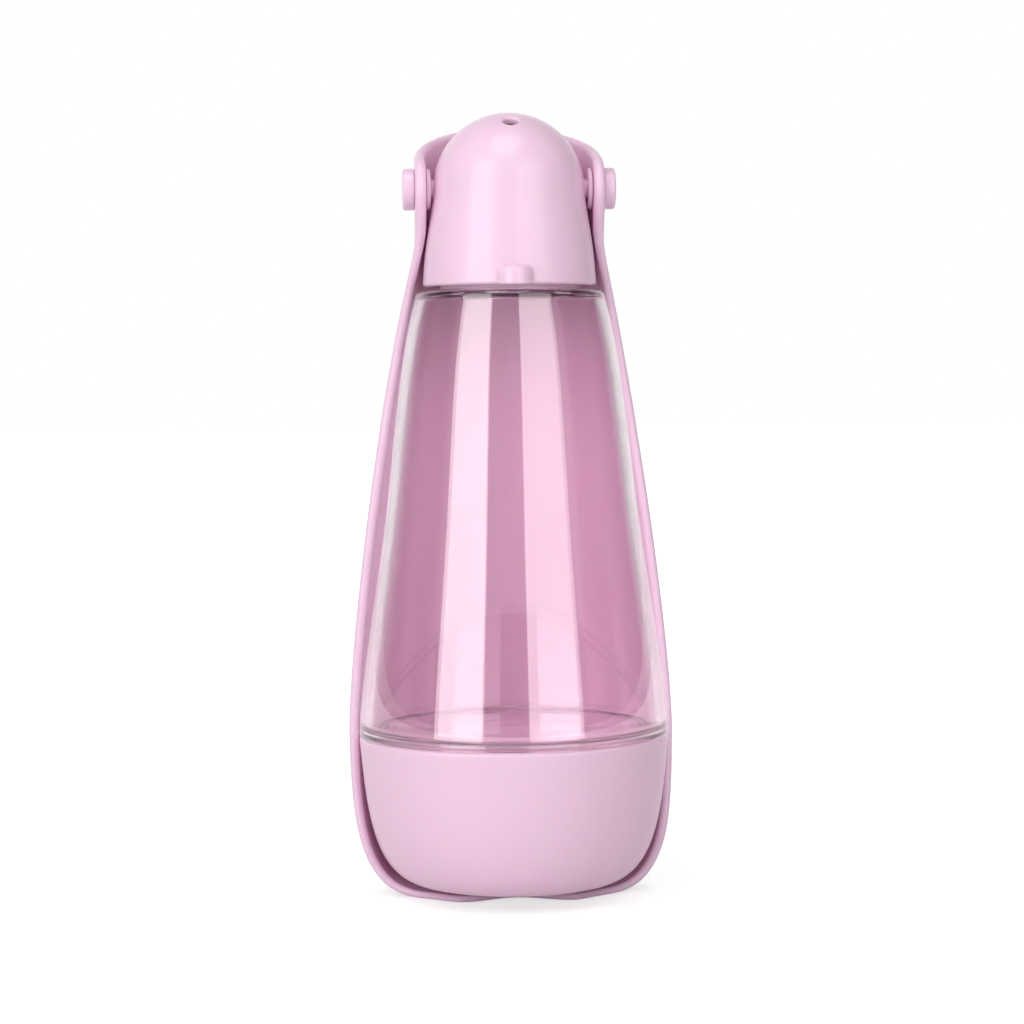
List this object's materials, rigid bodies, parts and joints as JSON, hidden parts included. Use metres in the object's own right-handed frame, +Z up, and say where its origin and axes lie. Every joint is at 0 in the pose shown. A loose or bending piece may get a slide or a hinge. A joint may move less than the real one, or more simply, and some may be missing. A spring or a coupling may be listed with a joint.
{
  "type": "dog travel water bottle",
  "caption": "Clear tapered bottle with a domed twist head, a folding drinking trough behind it and a food cup under it.",
  "frame": {"origin": "on the floor, on the bottle's axis, at the underside of the folded trough's foot", "axes": "+Z up along the bottle's axis; +Y to the back, where the folded trough lies; the head's lug faces -Y; the pivot pins lie along X"},
  "size_m": [0.101, 0.0985, 0.2388],
  "materials": {
    "clear_plastic": "clear, polished",
    "pink_plastic": "satin",
    "closure_plastic": "satin",
    "valve_plastic": "matte",
    "seal_rubber": "matte"
  },
  "bodies": {
    "bottle": {"bottle_body": "clear_plastic", "bottle_floor": "clear_plastic", "neck_seal": "seal_rubber", "screw_collar": "closure_plastic", "collar_o_ring": "seal_rubber", "cup_seal": "seal_rubber"},
    "head": {"head_shell": "pink_plastic", "valve_disc": "valve_plastic", "pivot_pin_left": "pink_plastic", "pivot_pin_right": "pink_plastic", "pivot_washer_left": "pink_plastic", "pivot_washer_right": "pink_plastic"},
    "trough": {"drinking_trough": "pink_plastic"},
    "cup": {"food_cup": "pink_plastic"}
  },
  "joints": [
    {"name": "head_turn", "type": "hinge", "parent": "bottle", "child": "head", "pos_m": [0, 0, 0.2], "axis": [0, 0, 1], "range_deg": [0, 90]},
    {"name": "trough_swing", "type": "hinge", "parent": "head", "child": "trough", "pos_m": [0, 0, 0.2158], "axis": [1, 0, 0], "range_deg": [0, 175]},
    {"name": "food_cup_turn", "type": "hinge", "parent": "bottle", "child": "cup", "pos_m": [0, 0, 0.046], "axis": [0, 0, 1], "range_deg": [0, 60]}
  ]
}
